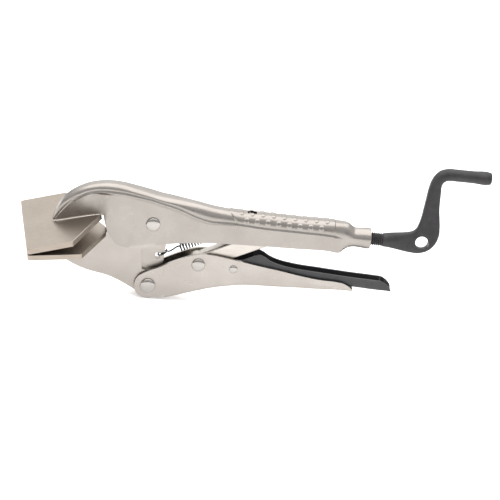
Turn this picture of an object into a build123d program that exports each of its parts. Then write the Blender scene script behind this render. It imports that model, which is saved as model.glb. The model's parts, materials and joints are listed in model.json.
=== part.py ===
"""Locking sheet-metal pliers with a crank-driven adjusting screw, in millimetres.

Frame: origin at the middle of the upper jaw's front lower edge, where the jaw tips meet.
+X runs along the tool, parallel to the adjusting screw, towards the crank.
+Z points from the lower handle to the upper one, and Y runs along every pivot.
"""
from build123d import *
from math import atan2, cos, degrees, hypot, radians, sin
import os

# ---- driving dimensions ----
# pivots and the screw line, as (x, z)
JAW_PIVOT = (90.0, 17.7)
HANDLE_PIVOT = (92.7, -30.7)
LINK_PIVOT = (126.6, -10.7)
RELEASE_PIVOT = (152.0, -11.1)
SCREW_Z = 20.4
LINK_TIP = (184.8, SCREW_Z)

# sheet and plate
SHEET = 2.1
BODY_INNER = 4.8
GRIP_INNER = 5.4
PLATE = 3.9
JAW_HALF = 4.5
LINK_HALF = 4.4

# jaw plates
JAW_WIDTH = 82.6
JAW_GAP = 0.8
UPPER_TILT = 17.8
LOWER_TILT = 8.0

# adjusting screw, M10 x 1.5
SCREW_R = 5.0
RUNNING = 0.05
NECK_R = 7.0
NECK_START = 233.5
NECK_END = 247.0
SCREW_END = 257.0

# rivets: pin radius, head radius, head height
JAW_RIVET = (3.6, 5.15, 2.2)
HANDLE_RIVET = (3.8, 5.5, 2.3)
LINK_RIVET = (3.2, 4.9, 2.0)
RELEASE_RIVET = (1.9, 3.0, 1.3)

# crank
CRANK_HOLE = (284.0, 21.6)
CRANK_HOLE_R = 4.7
CRANK_HALF = 3.2
CRANK_PIN_Z = 73.0
CRANK_PIN_R = 4.5
CRANK_END = 328.3
CRANK_LEAN = 10.0
SHANK_END = 268.0

# tension spring
SPRING_HOLE = (97.5, -8.6)
SPRING_HOLE_R = 2.3
SPRING_LOOP_R = 3.3
SPRING_ANCHOR = (157.6, 23.0)
SPRING_WIRE = 1.0
SPRING_OD = 7.0
COIL_START = 16.5
COIL_LENGTH = 38.0


# ---- helpers ----
def at(point, y=0.0):
    """The place of an (x, z) point of the side view."""
    return Pos(point[0], y, point[1])


def slab(face, half):
    """Extrude a side-view face to both sides of the middle plane."""
    return Pos(0, half, 0) * extrude(Plane.XZ * face, amount=2 * half)


def layer(face, y_from, y_to):
    """Extrude a side-view face between two distances from the middle plane."""
    return Pos(0, -y_from, 0) * extrude(Plane.XZ * face, amount=y_to - y_from)


def both_sides(face, y_from, y_to):
    """The same layer on both sides of the middle plane."""
    near = layer(face, y_from, y_to)
    return near + mirror(near, about=Plane.XZ)


def cross_pin(point, radius, half):
    """A round bar along Y through an (x, z) point."""
    return at(point) * Rot(90, 0, 0) * Cylinder(radius, 2 * half)


def long_bar(radius, x_from, x_to, z=SCREW_Z):
    """A round bar along X."""
    return Pos((x_from + x_to) / 2, 0, z) * Rot(0, 90, 0) * Cylinder(radius, x_to - x_from)


def outside_edges(solid, half, keep):
    """The edges on both flat sides whose middle passes the test."""
    edges = [e for e in solid.edges() if abs(abs((e @ 0.5).Y) - half) < 0.01]
    return [e for e in edges if keep(e @ 0.5)]


def rivet(point, size, half):
    """A rivet with two domed heads that bear on faces at y = +-half."""
    pin_r, head_r, height = size
    dome_r = (head_r**2 + height**2) / (2 * height)
    dome = Pos(0, 0, height - dome_r) * Sphere(dome_r)
    head = dome & Pos(0, 0, height / 2) * Cylinder(head_r, height)
    pin = Cylinder(pin_r, 2 * half)
    body = pin + Pos(0, 0, half) * head + Pos(0, 0, -half) * Rot(180, 0, 0) * head
    return at(point) * Rot(90, 0, 0) * body


# ---- stamped main body: nose, cheeks, grip and threaded neck ----
NOSE = [(18.3, 9.2), (19.5, 16.8), (23.4, 26.8), (30.7, 35.2), (39.9, 40.8), (54.0, 44.6)]
CREASE = [(17.0, 8.0), (22.6, 18.2), (27.0, 25.0), (31.0, 29.8), (36.9, 34.2), (42.0, 36.8), (48.0, 38.4),
          (62.0, 38.8)]
BEAD_PLAN = [(16.0, 2.4), (35.0, 5.1), (62.0, 6.9)]
PINCH_PLAN = [(16.0, 2.6), (44.0, 2.9), (59.0, 6.9)]
CAVITY_START = 47.0
BACK = [(66.7, 44.1), (93.2, 38.6), (121.7, 35.0), (142.2, 31.6), (152.0, 31.2)]
GRIP_TOP = 31.2
GRIP_FRONT = 144.0
GRIP_REAR = 220.5
GRIP_RAISE = 0.6
CHEEK = [(54.0, 20.0), (56.4, 12.6), (59.8, 5.8), (64.1, 0.6), (69.6, -2.1), (76.3, -2.5)]
BELLY = [(90.6, 0.7), (110.5, 4.7), (129.3, 7.0), (172.4, 8.9), (222.0, 10.1)]
SHOULDER = 226.0
CAVITY_STEPS = 12


def body_face():
    """The side view of the main body as far as the shoulder."""
    top = Spline(NOSE + BACK)
    roof = Line(BACK[-1], (SHOULDER, GRIP_TOP))
    rear = Line((SHOULDER, GRIP_TOP), (SHOULDER, BELLY[-1][1]))
    sill = Line((SHOULDER, BELLY[-1][1]), BELLY[-1])
    low = Spline(BELLY[::-1] + CHEEK[::-1])
    seat = Line(CHEEK[0], NOSE[0])
    return make_face(Curve() + [top, roof, rear, sill, low, seat])


def plan_prism(half_widths, x_end, inset=0.0):
    """A tall block whose half-width follows (x, y) points and then stays the same up to x_end."""
    side = [(x, y - inset) for x, y in half_widths]
    side.append((x_end, side[-1][1]))
    other = [(x, -y) for x, y in reversed(side)]
    plan = make_face(Polyline(*side, *other, side[0]))
    return Pos(0, 0, -60) * extrude(plan, amount=120)


def nose_pockets():
    """What is missing beside the nose, where the two sheets are pressed together below the bead."""
    rear, low = CREASE[-1][0], -10.0
    under = Polyline(*CREASE, (rear, low), (CREASE[0][0], low), CREASE[0])
    return slab(make_face(under), 12.0) - plan_prism(PINCH_PLAN, rear + 1)


def body_cavity(half):
    """The channel inside the sheet, open below. It starts where the pinched nose opens out."""
    top = Spline(NOSE + BACK)
    inner = []
    for step in range(CAVITY_STEPS + 1):
        place, along = top @ (step / CAVITY_STEPS), top % (step / CAVITY_STEPS)
        inner.append((place.X + SHEET * along.Y, place.Y - SHEET * along.X))
    roof = Spline(inner)
    below = Polyline(inner[-1], (SHOULDER, GRIP_TOP - SHEET), (SHOULDER, -10), (inner[0][0], -10), inner[0])
    room = slab(make_face(roof + below), half) & plan_prism(PINCH_PLAN, NECK_END, SHEET)
    return room - Pos(CAVITY_START - 25, 0, 0) * Box(50, 4 * half, 200)


def neck():
    """The shoulder that closes the channel and the round threaded neck."""
    mid_z = (GRIP_TOP + BELLY[-1][1]) / 2
    outer = BODY_INNER + SHEET
    section = Plane((SHOULDER, 0, mid_z), x_dir=(0, 1, 0), z_dir=(1, 0, 0))
    end = Plane((NECK_START, 0, SCREW_Z), x_dir=(0, 1, 0), z_dir=(1, 0, 0))
    block = section * RectangleRounded(2 * outer, GRIP_TOP - BELLY[-1][1], 5.0)
    return loft([block, end * Circle(NECK_R)]) + long_bar(NECK_R, NECK_START, NECK_END)


def make_main_body():
    outer = BODY_INNER + SHEET
    shell = slab(body_face(), outer)
    ridge = outside_edges(shell, outer, lambda p: p.Z > 28)
    shell = fillet(ridge, 4.6) & plan_prism(BEAD_PLAN, NECK_END)
    shell -= nose_pockets()
    grip_face = Pos((GRIP_FRONT + GRIP_REAR) / 2, (GRIP_TOP + SCREW_Z) / 2)
    grip_face *= Rectangle(GRIP_REAR - GRIP_FRONT, GRIP_TOP - SCREW_Z)
    grip = slab(grip_face, outer + GRIP_RAISE)
    grip = fillet(outside_edges(grip, outer + GRIP_RAISE, lambda p: p.Z > GRIP_TOP - 0.1), 5.4)
    body = shell + grip + neck()
    body -= body_cavity(BODY_INNER)
    wide = Pos((138 + SHOULDER) / 2, 0, 0) * Box(SHOULDER - 138, 2 * GRIP_INNER, 2 * (GRIP_TOP - SHEET))
    body -= wide
    body -= long_bar(SCREW_R + RUNNING, SHOULDER - 5, NECK_END + 1)
    slot_length = 11.0
    slot = Pos(SPRING_ANCHOR[0] + slot_length / 2, 0, GRIP_TOP) * Box(slot_length, 4.0, 3 * SHEET)
    body -= slot
    tab_foot = SPRING_ANCHOR[1] - 3.0
    tab = Pos(SPRING_ANCHOR[0] - 0.7, 0, (GRIP_TOP + tab_foot) / 2) * Box(1.4, 4.0, GRIP_TOP - tab_foot)
    tab -= at(SPRING_ANCHOR) * Rot(0, 90, 0) * Cylinder(1.2, 6)
    return body + tab


# ---- jaws ----
def jaw_plate(parallel, total, tail_half, side):
    """A flat jaw plate: full width for a stretch, then tapered to its tail."""
    half = JAW_WIDTH / 2
    plan = make_face(Polyline((0, -half), (parallel, -half), (total, -tail_half), (total, tail_half),
                              (parallel, half), (0, half), (0, -half)))
    plate = extrude(plan, amount=side * PLATE)
    corners = [e for e in plate.edges().filter_by(Axis.Z) if abs((e @ 0.5).Y) > half - 1]
    plate = fillet(corners, 2.0)
    rims = [e for e in plate.edges() if abs((e @ 0.5).Z - side * PLATE) < 0.01]
    return chamfer(rims, 0.3)


def make_upper_plate():
    return Rot(0, -UPPER_TILT, 0) * jaw_plate(33.0, 56.0, 5.0, 1)


def make_lower_plate():
    return Pos(0, 0, -JAW_GAP) * Rot(0, -LOWER_TILT, 0) * jaw_plate(38.5, 58.0, 5.0, -1)


def make_lower_jaw():
    boss_a = at_face(JAW_PIVOT, 12.0)
    boss_b = at_face(HANDLE_PIVOT, 9.6)
    chin = [(15.0, -5.0), (33.9, -18.6), (50.6, -24.4), (61.3, -26.3), (72.1, -30.0), (84.5, -36.2)]
    back = [(99.5, -24.0), (101.9, -14.0), (101.9, -7.0), (101.5, 14.0)]
    crown = [(80.5, 24.5), (68.0, 14.5), (58.6, 7.6), (56.0, 4.0), (15.0, -2.0)]
    outline = Spline(chin) + Polyline(chin[-1], (92.0, -30.0), *back) + Polyline(back[-1], *crown)
    outline += Line(crown[-1], chin[0])
    face = make_face(outline) + boss_a + boss_b
    jaw = slab(face, JAW_HALF)
    pocket = make_face(Polyline((84.5, -3.6), (110, -1.0), (110, -21.0), (99.0, -20.6), (87.0, -19.4),
                                (84.5, -3.6)))
    jaw -= both_sides(pocket, 2.0, JAW_HALF + 1)
    jaw -= cross_pin(SPRING_HOLE, SPRING_HOLE_R, 10)
    jaw -= cross_pin(JAW_PIVOT, JAW_RIVET[0] + RUNNING, 10)
    jaw -= cross_pin(HANDLE_PIVOT, HANDLE_RIVET[0] + RUNNING, 10)
    return jaw


def at_face(point, radius):
    """A disc in the side view."""
    return Pos(point[0], point[1]) * Circle(radius)


# ---- lower handle ----
EAR_R = 9.9
HANDLE_TOP = [(88.0, -21.6), (98.4, -16.3), (106.0, -11.3), (113.8, -7.3), (121.6, -3.7), (131.5, -2.0),
              (148.3, -3.5), (169.5, -6.7), (200.8, -11.3), (215.7, -12.8), (231.9, -13.2), (239.3, -17.4)]
HANDLE_LOW = [(239.3, -19.6), (224.0, -20.6), (194.7, -22.1), (163.0, -23.6), (149.4, -25.6),
              (136.2, -29.2), (121.5, -34.3), (110.5, -38.2), (98.5, -39.7)]
FOLD_START = 105.0
HANDLE_FRONT_INNER = 4.8
HANDLE_REAR_INNER = 5.45
HANDLE_SHEET = 1.9


def handle_plan(front, rear):
    """The plan of the handle's channel, which widens behind the link pivot."""
    return plan_prism([(75.0, front), (128.0, front), (148.0, rear)], 245.0)


def make_lower_handle():
    outline = Spline(HANDLE_TOP) + Line(HANDLE_TOP[-1], HANDLE_LOW[0])
    outline += Spline(HANDLE_LOW) + Line(HANDLE_LOW[-1], HANDLE_TOP[0])
    face = make_face(outline) + at_face(HANDLE_PIVOT, EAR_R)
    outer_front = HANDLE_FRONT_INNER + HANDLE_SHEET
    outer_rear = HANDLE_REAR_INNER + HANDLE_SHEET
    handle = slab(face, outer_rear + 1) & handle_plan(outer_front, outer_rear)
    trough = [(x, z + HANDLE_SHEET) for x, z in HANDLE_LOW if x > FOLD_START]
    trough_line = Spline((250.0, HANDLE_LOW[0][1] + HANDLE_SHEET), *trough, (FOLD_START, -36.0))
    rim = Polyline((FOLD_START, -36.0), (FOLD_START, -60.0), (70.0, -60.0), (70.0, 20.0), (250.0, 20.0),
                   (250.0, HANDLE_LOW[0][1] + HANDLE_SHEET))
    hollow = slab(make_face(trough_line + rim), outer_rear + 1)
    handle -= hollow & handle_plan(HANDLE_FRONT_INNER, HANDLE_REAR_INNER)
    return handle


# ---- toggle link ----
LINK_BAR_HALF = 6.1
LINK_BOSS_R = 7.0
LINK_TIP_R = 5.6


def make_toggle_link():
    dx = LINK_TIP[0] - LINK_PIVOT[0]
    dz = LINK_TIP[1] - LINK_PIVOT[1]
    length = hypot(dx, dz)
    slope = degrees(atan2(dz, dx))
    bar = make_face(Polyline((0, -LINK_BAR_HALF), (length - 6, -LINK_BAR_HALF), (length, -LINK_TIP_R),
                             (length, LINK_TIP_R), (length - 6, LINK_BAR_HALF), (0, LINK_BAR_HALF),
                             (0, -LINK_BAR_HALF)))
    flat = bar + Circle(LINK_BOSS_R) + Pos(length, 0) * Circle(LINK_TIP_R)
    link = slab(Pos(*LINK_PIVOT) * Rot(0, 0, slope) * flat, LINK_HALF)
    long_edges = outside_edges(link, LINK_HALF, lambda p: True)
    link = fillet(long_edges, 1.2)
    return link - cross_pin(LINK_PIVOT, LINK_RIVET[0] + RUNNING, 10)


# ---- release lever ----
LEVER_HALF = 5.05
LEVER_SHEET = 1.3
LEVER_TOP = [(177.8, -3.4), (193.0, -6.3), (215.4, -8.4), (237.5, -9.4), (257.5, -10.2), (262.6, -12.6)]
LEVER_LOW = [(265.6, -18.2), (246.0, -18.0), (240.6, -17.0), (224.0, -17.0), (196.0, -17.2), (166.0, -17.4)]
LEVER_NOSE = [(154.6, -6.0), (160.5, -3.0), (167.0, 0.2), (169.7, 1.0), (172.0, 0.0)]
LEVER_HEEL_R = 5.6
LEVER_END = 266.8


def make_release_lever():
    tail = Spline(LEVER_TOP) + Line(LEVER_TOP[-1], (LEVER_END, -15.8))
    tail += Line((LEVER_END, -15.8), LEVER_LOW[0])
    low = Polyline(*LEVER_LOW, (RELEASE_PIVOT[0], RELEASE_PIVOT[1] - LEVER_HEEL_R))
    nose = Polyline((RELEASE_PIVOT[0], RELEASE_PIVOT[1] - LEVER_HEEL_R),
                    (RELEASE_PIVOT[0], RELEASE_PIVOT[1] + LEVER_HEEL_R), *LEVER_NOSE, LEVER_TOP[0])
    face = make_face(tail + low + nose) + at_face(RELEASE_PIVOT, LEVER_HEEL_R)
    lever = slab(face, LEVER_HALF)
    floor = [(x, z + LEVER_SHEET) for x, z in LEVER_LOW[1:]]
    room = make_face(Polyline((LEVER_END - 3.6, 5), (LEVER_END - 3.6, LEVER_LOW[0][1] + LEVER_SHEET),
                              *floor, (140, floor[-1][1]), (140, 5), (LEVER_END - 3.6, 5)))
    lever -= slab(room, LEVER_HALF - LEVER_SHEET)
    return lever - cross_pin(RELEASE_PIVOT, RELEASE_RIVET[0] + RUNNING, 10)


# ---- screw, thrust cap and crank ----
CAP_FACE = LINK_TIP[0] + LINK_TIP_R + 2.2
CAP_END = CAP_FACE + 9.0
CAP_R = 4.9
STEM_R = 2.5


def make_thrust_cap():
    cap = long_bar(CAP_R, CAP_FACE, CAP_END)
    cap = chamfer(cap.edges().filter_by(GeomType.CIRCLE), 0.5)
    return cap - long_bar(STEM_R + RUNNING, CAP_FACE + 3.0, CAP_END + 1)


def make_crank_screw():
    stem = long_bar(STEM_R, CAP_FACE + 3.2, CAP_END + 0.3)
    screw = long_bar(SCREW_R, CAP_END + 0.2, SCREW_END)
    shank_plane = Plane((SCREW_END, 0, SCREW_Z), x_dir=(0, 1, 0), z_dir=(1, 0, 0))
    shank_end = shank_plane.offset(SHANK_END - SCREW_END) * Ellipse(CRANK_HALF + 0.3, 6.0)
    shank = loft([shank_plane * Circle(SCREW_R - 0.1), shank_end])
    foot_x = SHANK_END - 2
    bar_x = 299.4
    reach = CRANK_PIN_R - 0.5
    bar_low, bar_top = CRANK_PIN_Z - reach, CRANK_PIN_Z + reach
    outer = Spline((foot_x, 14.2), (277.0, 13.2), (286.6, 14.7), (294.2, 22.2), (295.8, 32.0), (293.8, 46.0),
                   (293.4, 60.0), (294.8, 66.6), (bar_x, bar_low))
    close = Line((bar_x, bar_low), (bar_x, bar_top))
    inner = Spline((bar_x, bar_top), (289.5, 74.0), (284.1, 64.6), (282.0, 48.3), (280.4, 36.7),
                   (276.8, 29.6), (foot_x, 26.5))
    foot = Line((foot_x, 26.5), (foot_x, 14.2))
    arm = slab(make_face(outer + close + inner + foot), CRANK_HALF)
    arm = fillet(outside_edges(arm, CRANK_HALF, lambda p: SHANK_END < p.X < bar_x - 0.5), 2.3)
    grip = long_bar(CRANK_PIN_R, bar_x - 3, CRANK_END, CRANK_PIN_Z)
    grip = fillet([e for e in grip.edges() if (e @ 0.5).X > CRANK_END - 1], 0.9)
    grip = chamfer([e for e in grip.edges().filter_by(GeomType.CIRCLE) if (e @ 0.5).X < bar_x], 1.6)
    handle = shank + arm + grip - cross_pin(CRANK_HOLE, CRANK_HOLE_R, 10)
    leaning = Pos(0, 0, SCREW_Z) * Rot(-CRANK_LEAN, 0, 0) * Pos(0, 0, -SCREW_Z) * handle
    return stem + screw + leaning


# ---- tension spring ----
def make_spring():
    dx = SPRING_ANCHOR[0] - SPRING_HOLE[0]
    dz = SPRING_ANCHOR[1] - SPRING_HOLE[1]
    span = hypot(dx, dz)
    slope = atan2(dz, dx)
    wire_r = SPRING_WIRE / 2
    coil = Pos(0, 0, COIL_START + COIL_LENGTH / 2) * Cylinder(SPRING_OD / 2, COIL_LENGTH)
    coil -= Pos(0, 0, COIL_START + COIL_LENGTH / 2) * Cylinder(SPRING_OD / 2 - SPRING_WIRE, COIL_LENGTH)
    caps = [Pos(0, 0, z) * Cylinder(SPRING_OD / 2, SPRING_WIRE)
            for z in (COIL_START + wire_r, COIL_START + COIL_LENGTH - wire_r)]
    loop_end = 2 * SPRING_LOOP_R
    loop = Pos(0, 0, SPRING_LOOP_R) * Rot(0, 90, 0) * Torus(SPRING_LOOP_R, wire_r)
    front_leg = Pos(0, 0, (loop_end + COIL_START) / 2) * Cylinder(wire_r, COIL_START - loop_end + wire_r)
    rear_start = COIL_START + COIL_LENGTH
    rear_end = span + 1.2
    rear_leg = Pos(0, 0, (rear_start + rear_end) / 2) * Cylinder(wire_r, rear_end - rear_start)
    spring = coil + caps + loop + front_leg + rear_leg
    return at(SPRING_HOLE) * Rot(0, 90 - degrees(slope), 0) * spring


# ---- assembly ----
def build():
    body_outer = BODY_INNER + SHEET
    handle_outer = HANDLE_FRONT_INNER + HANDLE_SHEET
    rear_outer = HANDLE_REAR_INNER + HANDLE_SHEET
    nodes = {
        "main_body": make_main_body(),
        "upper_jaw_plate": make_upper_plate(),
        "jaw_pivot_rivet": rivet(JAW_PIVOT, JAW_RIVET, body_outer),
        "lower_jaw": make_lower_jaw(),
        "lower_jaw_plate": make_lower_plate(),
        "lower_handle": make_lower_handle(),
        "handle_pivot_rivet": rivet(HANDLE_PIVOT, HANDLE_RIVET, handle_outer),
        "link_pivot_rivet": rivet(LINK_PIVOT, LINK_RIVET, handle_outer),
        "release_pivot_rivet": rivet(RELEASE_PIVOT, RELEASE_RIVET, rear_outer),
        "toggle_link": make_toggle_link(),
        "release_lever": make_release_lever(),
        "tension_spring": make_spring(),
        "thrust_cap": make_thrust_cap(),
        "crank_screw": make_crank_screw(),
    }
    nodes["main_body"] -= nodes["upper_jaw_plate"]
    nodes["main_body"] -= nodes["jaw_pivot_rivet"]
    nodes["lower_jaw"] -= nodes["lower_jaw_plate"]
    for pin in ("handle_pivot_rivet", "link_pivot_rivet", "release_pivot_rivet"):
        nodes["lower_handle"] -= nodes[pin]
    return nodes


os.makedirs("parts", exist_ok=True)
for name, solid in build().items():
    solid.label = name
    export_step(solid, f"parts/{name}.step")
    print(name, len(solid.solids()), round(solid.volume))
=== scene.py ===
"""Looks of the locking sheet-metal pliers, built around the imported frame.

Every outline is in millimetres in the frame's side view, as (x, z); MM turns it into metres.
"""

import json
import math

import bmesh
import bpy
import numpy as np
from mathutils import Matrix, Vector


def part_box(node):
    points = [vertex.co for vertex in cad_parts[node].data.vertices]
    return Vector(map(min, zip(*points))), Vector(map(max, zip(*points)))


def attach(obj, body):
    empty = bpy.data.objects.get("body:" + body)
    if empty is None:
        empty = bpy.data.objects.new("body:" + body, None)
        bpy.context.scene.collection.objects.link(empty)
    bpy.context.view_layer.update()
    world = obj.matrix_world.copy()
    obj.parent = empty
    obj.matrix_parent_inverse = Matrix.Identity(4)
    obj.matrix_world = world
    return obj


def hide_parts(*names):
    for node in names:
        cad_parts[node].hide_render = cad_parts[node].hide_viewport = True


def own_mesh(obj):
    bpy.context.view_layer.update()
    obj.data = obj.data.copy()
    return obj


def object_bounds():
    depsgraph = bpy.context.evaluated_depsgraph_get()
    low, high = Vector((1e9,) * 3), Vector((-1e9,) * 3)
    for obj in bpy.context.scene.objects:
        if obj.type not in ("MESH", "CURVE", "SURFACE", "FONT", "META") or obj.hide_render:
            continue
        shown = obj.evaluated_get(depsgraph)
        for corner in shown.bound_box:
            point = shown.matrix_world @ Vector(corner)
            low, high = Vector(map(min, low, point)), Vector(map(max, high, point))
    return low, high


MM = 0.001
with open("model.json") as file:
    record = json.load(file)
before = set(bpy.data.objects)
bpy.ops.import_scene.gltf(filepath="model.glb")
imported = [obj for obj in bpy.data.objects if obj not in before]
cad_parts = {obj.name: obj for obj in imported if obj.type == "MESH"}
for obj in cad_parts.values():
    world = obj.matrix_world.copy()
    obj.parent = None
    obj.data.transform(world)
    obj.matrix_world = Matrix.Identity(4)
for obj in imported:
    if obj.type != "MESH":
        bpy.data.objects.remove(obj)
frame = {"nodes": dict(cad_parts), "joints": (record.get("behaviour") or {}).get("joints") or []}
CAD_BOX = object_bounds()
JOINT_POS = {j["name"]: Vector(j.get("pos_m", (0, 0, 0))) / MM for j in frame["joints"]}

# ---- camera, floor and light ----
# the camera's right and backward directions, and where it looks, in its own right and up (metres)
RIGHT = Vector((0.9881, -0.0645, 0.1394)).normalized()
BACK = Vector((-0.1178, -0.9007, 0.4181)).normalized()
AIM = (0.1610, -0.0143)
FRAME_WIDTH = 0.3571
CAMERA_DISTANCE = 13.0
CLIP_END = 60.0
SENSOR = 36.0
# grey level of the surroundings, from straight down (0) over the horizon (0.5) to straight up (1)
WORLD_RAMP = [(0.0, 0.45), (0.42, 0.40), (0.50, 0.32), (0.57, 0.48), (0.68, 0.78), (0.82, 0.88), (1.0, 0.8)]
WORLD_BLUE = 1.01
WORLD_FRONT = 0.95
WORLD_REAR = 1.2
TOP_POWER = 15.5
REAR_POWER = 2.2
FLOOR_HALF = 1.6
FLOOR_GAP = 0.0003
FLOOR_GREY = 0.93
FLOOR_GLOW = 0.38


def make_camera():
    """A long lens, far off, so that parallel edges stay nearly parallel."""
    back = (BACK - RIGHT * BACK.dot(RIGHT)).normalized()
    up = back.cross(RIGHT)
    data = bpy.data.cameras.new("camera")
    data.sensor_width = SENSOR
    data.lens = SENSOR * CAMERA_DISTANCE / FRAME_WIDTH
    data.clip_end = CLIP_END
    camera = bpy.data.objects.new("camera", data)
    turn = Matrix((RIGHT, up, back)).transposed().to_4x4()
    middle = RIGHT * AIM[0] + up * AIM[1]
    camera.matrix_world = Matrix.Translation(middle + back * CAMERA_DISTANCE) @ turn
    bpy.context.scene.collection.objects.link(camera)
    bpy.context.scene.camera = camera


def area_light(name, place, target, size, power):
    """A soft rectangular light that faces its target."""
    data = bpy.data.lights.new(name, "AREA")
    data.shape = "RECTANGLE"
    data.size = size[0]
    data.size_y = size[1]
    data.energy = power
    light = bpy.data.objects.new(name, data)
    light.location = place
    look = Vector(target) - Vector(place)
    light.rotation_euler = look.to_track_quat("-Z", "Y").to_euler()
    bpy.context.scene.collection.objects.link(light)


def make_lights():
    """One large softbox above and a weak card behind."""
    area_light("top_softbox", (0.14, 0.15, 1.0), (0.14, 0.0, 0.0), (1.8, 1.6), TOP_POWER)
    area_light("rear_card", (0.2, 1.3, 0.6), (0.15, 0, 0.01), (1.8, 0.7), REAR_POWER)


def make_world():
    """Grey surroundings that change with height, and are a little brighter behind the tool."""
    world = bpy.data.worlds.new("studio")
    world.use_nodes = True
    tree = world.node_tree
    tree.nodes.clear()
    coords = tree.nodes.new("ShaderNodeTexCoord")
    split = tree.nodes.new("ShaderNodeSeparateXYZ")
    tree.links.new(coords.outputs["Generated"], split.inputs[0])
    height = tree.nodes.new("ShaderNodeMapRange")
    height.inputs["From Min"].default_value = -1.0
    tree.links.new(split.outputs["Z"], height.inputs["Value"])
    ramp = tree.nodes.new("ShaderNodeValToRGB")
    tree.links.new(height.outputs[0], ramp.inputs[0])
    while len(ramp.color_ramp.elements) < len(WORLD_RAMP):
        ramp.color_ramp.elements.new(0.5)
    for element, (place, level) in zip(ramp.color_ramp.elements, WORLD_RAMP):
        element.position = place
        element.color = (level, level, level * WORLD_BLUE, 1)
    depth = tree.nodes.new("ShaderNodeMapRange")
    depth.inputs["From Min"].default_value = -1.0
    depth.inputs["To Min"].default_value = WORLD_FRONT
    depth.inputs["To Max"].default_value = WORLD_REAR
    tree.links.new(split.outputs["Y"], depth.inputs["Value"])
    background = tree.nodes.new("ShaderNodeBackground")
    tree.links.new(ramp.outputs[0], background.inputs["Color"])
    tree.links.new(depth.outputs[0], background.inputs["Strength"])
    out = tree.nodes.new("ShaderNodeOutputWorld")
    tree.links.new(background.outputs[0], out.inputs["Surface"])
    bpy.context.scene.world = world
    bpy.context.scene.view_settings.view_transform = "Standard"


def make_floor():
    """A plain pale floor just under the tool."""
    half = FLOOR_HALF
    low = CAD_BOX[0][2] - FLOOR_GAP
    corners = [(-half, -half, low), (half, -half, low), (half, half, low), (-half, half, low)]
    mesh = bpy.data.meshes.new("floor")
    mesh.from_pydata(corners, [], [(0, 1, 2, 3)])
    floor = bpy.data.objects.new("floor", mesh)
    bpy.context.scene.collection.objects.link(floor)
    material = bpy.data.materials.new("pale_floor")
    material.use_nodes = True
    shader = material.node_tree.nodes["Principled BSDF"]
    shader.inputs["Base Color"].default_value = (FLOOR_GREY, FLOOR_GREY, FLOOR_GREY, 1)
    shader.inputs["Roughness"].default_value = 0.9
    shader.inputs["Specular IOR Level"].default_value = 0.1
    shader.inputs["Emission Color"].default_value = (1, 1, 1, 1)
    shader.inputs["Emission Strength"].default_value = FLOOR_GLOW
    mesh.materials.append(material)


# ---- materials ----
class Shader:
    """A small builder for a principled material that reads object coordinates."""

    def __init__(self, name, metallic=1.0):
        self.material = bpy.data.materials.new(name)
        self.material.use_nodes = True
        self.tree = self.material.node_tree
        self.shader = self.tree.nodes["Principled BSDF"]
        self.shader.inputs["Metallic"].default_value = metallic
        self.coords = self.tree.nodes.new("ShaderNodeTexCoord").outputs["Object"]

    def node(self, kind, **inputs):
        made = self.tree.nodes.new(kind)
        for key, value in inputs.items():
            made.inputs[key.replace("_", " ")].default_value = value
        return made

    def link(self, source, target):
        self.tree.links.new(source, target)

    def noise(self, scale, stretch=(1, 1, 1), detail=3.0, rough=0.5):
        """Noise over the object's own coordinates, from 0 to 1."""
        mapping = self.node("ShaderNodeMapping")
        mapping.inputs["Scale"].default_value = stretch
        self.link(self.coords, mapping.inputs["Vector"])
        made = self.node("ShaderNodeTexNoise", Scale=scale, Detail=detail, Roughness=rough)
        self.link(mapping.outputs[0], made.inputs["Vector"])
        return made.outputs["Fac"]

    def spread(self, value, low, high, from_low=0.3, from_high=0.7):
        """Stretch a value's middle range to run from low to high."""
        made = self.node("ShaderNodeMapRange", From_Min=from_low, From_Max=from_high, To_Min=low, To_Max=high)
        self.link(value, made.inputs["Value"])
        return made.outputs[0]

    def mix(self, factor, colour_a, colour_b):
        """Mix two colours, each a tuple or another node's output."""
        made = self.tree.nodes.new("ShaderNodeMix")
        made.data_type = "RGBA"
        for slot, colour in ((6, colour_a), (7, colour_b)):
            if isinstance(colour, tuple):
                made.inputs[slot].default_value = (*colour, 1)
            else:
                self.link(colour, made.inputs[slot])
        self.link(factor, made.inputs[0])
        return made.outputs[2]

    def edges(self, low, high):
        """A measure of the mesh's curvature, 0.5 on flat ground, spread from 0 to 1."""
        geometry = self.node("ShaderNodeNewGeometry")
        return self.spread(geometry.outputs["Pointiness"], 0.0, 1.0, low, high)

    def colour(self, source):
        self.link(source, self.shader.inputs["Base Color"])

    def roughness(self, source):
        self.link(source, self.shader.inputs["Roughness"])

    def bumps(self, *layers):
        """Stack bump layers, each (height source, distance in metres, strength)."""
        normal = None
        for height, distance, strength in layers:
            bump = self.node("ShaderNodeBump", Strength=strength, Distance=distance)
            self.link(height, bump.inputs["Height"])
            if normal is not None:
                self.link(normal, bump.inputs["Normal"])
            normal = bump.outputs[0]
        self.link(normal, self.shader.inputs["Normal"])


def scaled(colour, *factors):
    """A colour times one factor, or times one factor for each channel, at most 1."""
    if len(factors) == 1:
        factors = factors * 3
    return tuple(min(1.0, c * f) for c, f in zip(colour, factors))


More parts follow.
